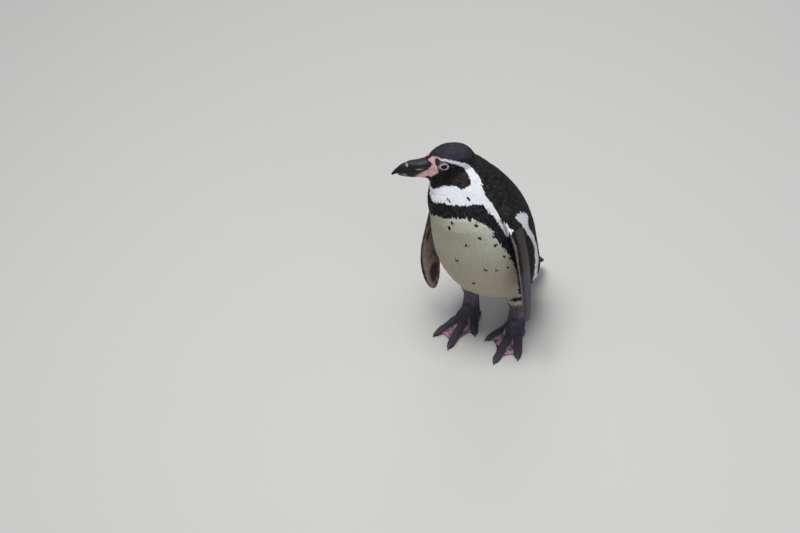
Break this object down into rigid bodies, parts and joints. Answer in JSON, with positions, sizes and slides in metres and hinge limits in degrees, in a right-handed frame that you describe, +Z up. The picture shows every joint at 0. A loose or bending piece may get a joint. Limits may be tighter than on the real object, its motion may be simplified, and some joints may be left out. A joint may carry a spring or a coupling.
{
  "type": "humboldt penguin model",
  "caption": "Life-size still model of a standing penguin, head turned to its right, flippers hanging, webbed feet flat on the floor.",
  "frame": {"origin": "on the floor under the middle of the bird's bounding box", "axes": "+Z up; the bird's chest and toes face -Y and its left side is +X"},
  "size_m": [0.2354, 0.2862, 0.4117],
  "materials": {
    "plumage": "short overlapping feathers, black, white and brown-grey in patches",
    "foot_skin": "scaly skin, slate with pink blotches on the webs",
    "bill_horn": "polished horn, black with a pale band near the tip",
    "eye_gloss": "wet gloss, dark red-brown",
    "claw_horn": "smooth dark horn"
  },
  "bodies": {
    "root": {"head": "plumage", "neck": "plumage", "trunk": "plumage", "tail": "plumage", "flipper_left": "plumage", "flipper_right": "plumage", "leg_left": "plumage", "leg_right": "plumage", "foot_left": "foot_skin", "foot_right": "foot_skin", "bill_upper": "bill_horn", "bill_lower": "bill_horn", "eye_left": "eye_gloss", "eye_right": "eye_gloss", "claw_left_middle": "claw_horn", "claw_left_outer": "claw_horn", "claw_left_inner": "claw_horn", "claw_left_hind": "claw_horn", "claw_right_middle": "claw_horn", "claw_right_outer": "claw_horn", "claw_right_inner": "claw_horn", "claw_right_hind": "claw_horn"}
  },
  "joints": []
}
